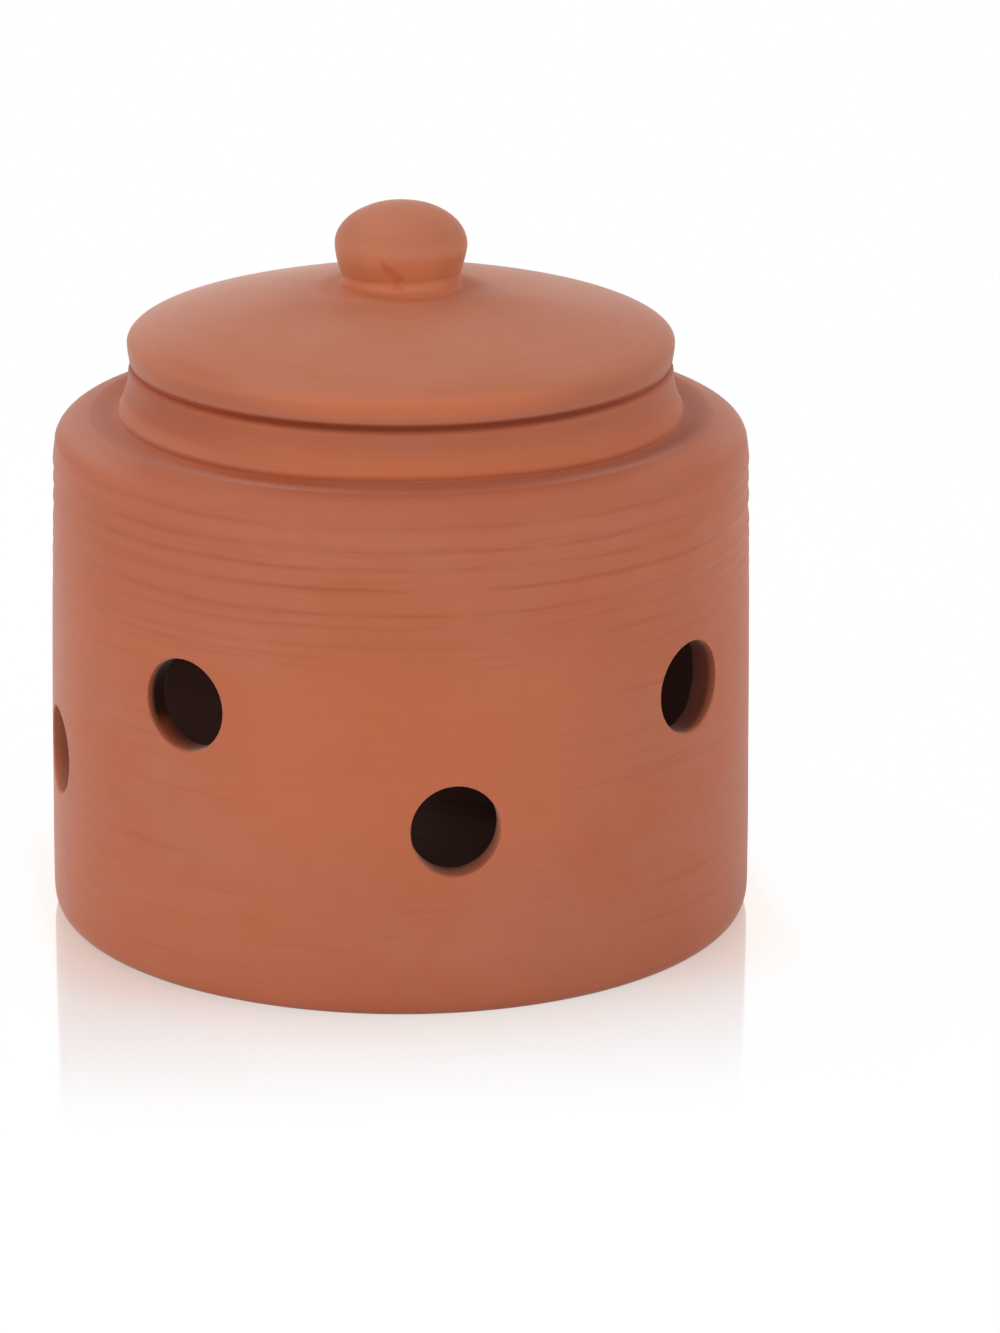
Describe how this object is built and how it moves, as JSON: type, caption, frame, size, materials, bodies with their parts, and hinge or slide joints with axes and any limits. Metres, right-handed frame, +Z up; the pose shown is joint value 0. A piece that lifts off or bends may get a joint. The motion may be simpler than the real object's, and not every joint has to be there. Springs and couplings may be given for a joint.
{
  "type": "clay garlic keeper",
  "caption": "Round thrown terracotta garlic keeper: a ventilated jar with throwing rings and a collar, and a domed lift-off lid with a luted knob.",
  "frame": {"origin": "centre of the jar's standing face, on the surface it stands on", "axes": "+Z up along the axis that the jar and lid were thrown on; -Y is the front, through a vent of the lower row"},
  "size_m": [0.1412, 0.1412, 0.145],
  "materials": {
    "body_clay": "unglazed, matte",
    "lid_clay": "unglazed, matte",
    "knob_clay": "unglazed, matte",
    "ring_clay": "unglazed, matte"
  },
  "bodies": {
    "jar": {"jar": "body_clay"},
    "lid": {"lid": "lid_clay", "lid_knob": "knob_clay", "knob_foot_ring": "ring_clay"}
  },
  "joints": [
    {"name": "lid_lift", "type": "slide", "parent": "jar", "child": "lid", "axis": [0, 0, 1], "range_m": [0, 0.15]}
  ]
}
